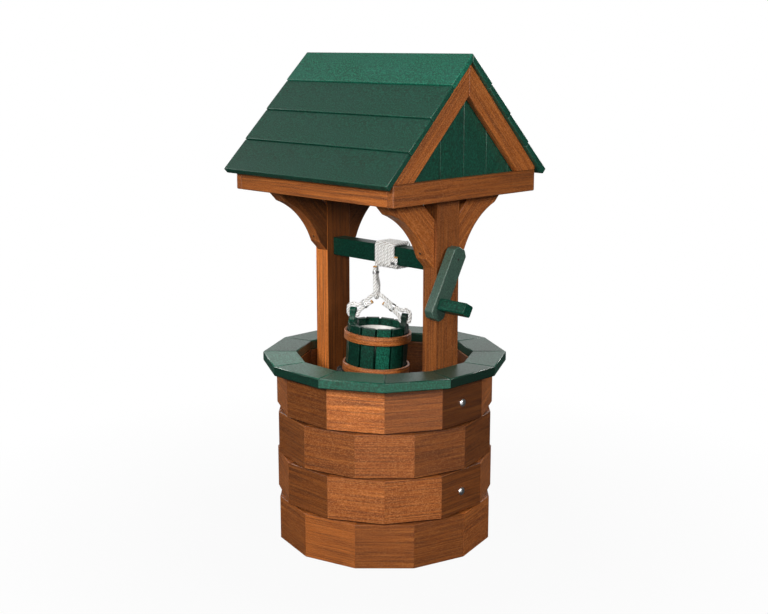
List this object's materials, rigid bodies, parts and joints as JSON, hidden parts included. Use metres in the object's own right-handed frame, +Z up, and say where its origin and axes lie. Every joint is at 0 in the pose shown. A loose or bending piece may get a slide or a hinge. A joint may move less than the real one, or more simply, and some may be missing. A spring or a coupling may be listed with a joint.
{
  "type": "wishing well planter",
  "caption": "Wishing well planter of plastic lumber: mitred block wall, gabled roof on braced posts, and a hand-cranked spindle that raises a small bucket on a rope.",
  "frame": {"origin": "on the ground, under the middle of the overall box; the well's own axis stands at x = -0.0165 m because the crank handle reaches past the wall on one side only", "axes": "+Z up; +X along the ridge and the spindle, toward the crank; +Y across the ridge toward the back eave, away from the side that the bucket's rope hangs on"},
  "size_m": [0.6802, 0.6472, 1.3223],
  "materials": {
    "brown_lumber": "streaked wood-grain plastic lumber, orange brown, satin",
    "green_lumber": "turf green plastic lumber with a fine brushed grain, satin",
    "liner": "white moulded plastic, smooth",
    "rope": "white three-strand twisted synthetic rope, ends melted amber",
    "stainless": "stainless steel, lightly polished"
  },
  "bodies": {
    "well": {"course_1": "brown_lumber", "course_2": "brown_lumber", "course_3": "brown_lumber", "course_4": "brown_lumber", "cap_ring": "green_lumber", "floor_cleat_1": "brown_lumber", "floor_cleat_2": "brown_lumber", "floor_slat_1": "brown_lumber", "floor_slat_2": "brown_lumber", "floor_slat_3": "brown_lumber", "floor_slat_4": "brown_lumber", "floor_slat_5": "brown_lumber", "post_left": "brown_lumber", "post_right": "brown_lumber", "brace_left_front": "brown_lumber", "brace_left_back": "brown_lumber", "brace_right_front": "brown_lumber", "brace_right_back": "brown_lumber", "bolt_left_lower": "stainless", "bolt_left_upper": "stainless", "bolt_right_lower": "stainless", "bolt_right_upper": "stainless", "fascia_front": "brown_lumber", "fascia_back": "brown_lumber", "fascia_left": "brown_lumber", "fascia_right": "brown_lumber", "head_plate_left": "brown_lumber", "head_plate_right": "brown_lumber", "rafter_left_front": "brown_lumber", "rafter_left_back": "brown_lumber", "rafter_right_front": "brown_lumber", "rafter_right_back": "brown_lumber", "gable_boards_left": "green_lumber", "gable_boards_right": "green_lumber", "roof_front_1": "green_lumber", "roof_front_2": "green_lumber", "roof_front_3": "green_lumber", "roof_front_4": "green_lumber", "roof_back_1": "green_lumber", "roof_back_2": "green_lumber", "roof_back_3": "green_lumber", "roof_back_4": "green_lumber", "rope_drop": "rope"},
    "windlass": {"spindle": "green_lumber", "crank_arm": "green_lumber", "crank_handle": "green_lumber", "rope_winding": "rope", "clip_winding": "stainless"},
    "eye": {"rope_eye": "rope", "clip_eye": "stainless"},
    "bucket": {"bucket_staves": "green_lumber", "bucket_bottom": "green_lumber", "bucket_liner": "liner", "hoop_upper": "brown_lumber", "hoop_lower": "brown_lumber", "rope_bail": "rope", "clip_bail_left": "stainless", "clip_bail_right": "stainless"}
  },
  "joints": [
    {"name": "crank_spin", "type": "hinge", "parent": "well", "child": "windlass", "pos_m": [0, 0, 0.7909], "axis": [1, 0, 0], "range_deg": [0, 575]},
    {"name": "bucket_lower", "type": "slide", "parent": "well", "child": "eye", "axis": [0, 0, -1], "range_m": [0, 0.35], "deforming": ["rope_drop"]},
    {"name": "bucket_swing", "type": "hinge", "parent": "eye", "child": "bucket", "pos_m": [-0.0195, -0.0269, 0.6807], "axis": [0.8957, 0.4446, 0], "range_deg": [-20, 20]}
  ],
  "couplings": [
    {"joint": "bucket_lower", "follows": "crank_spin", "m_per_rad": 0.03487}
  ]
}
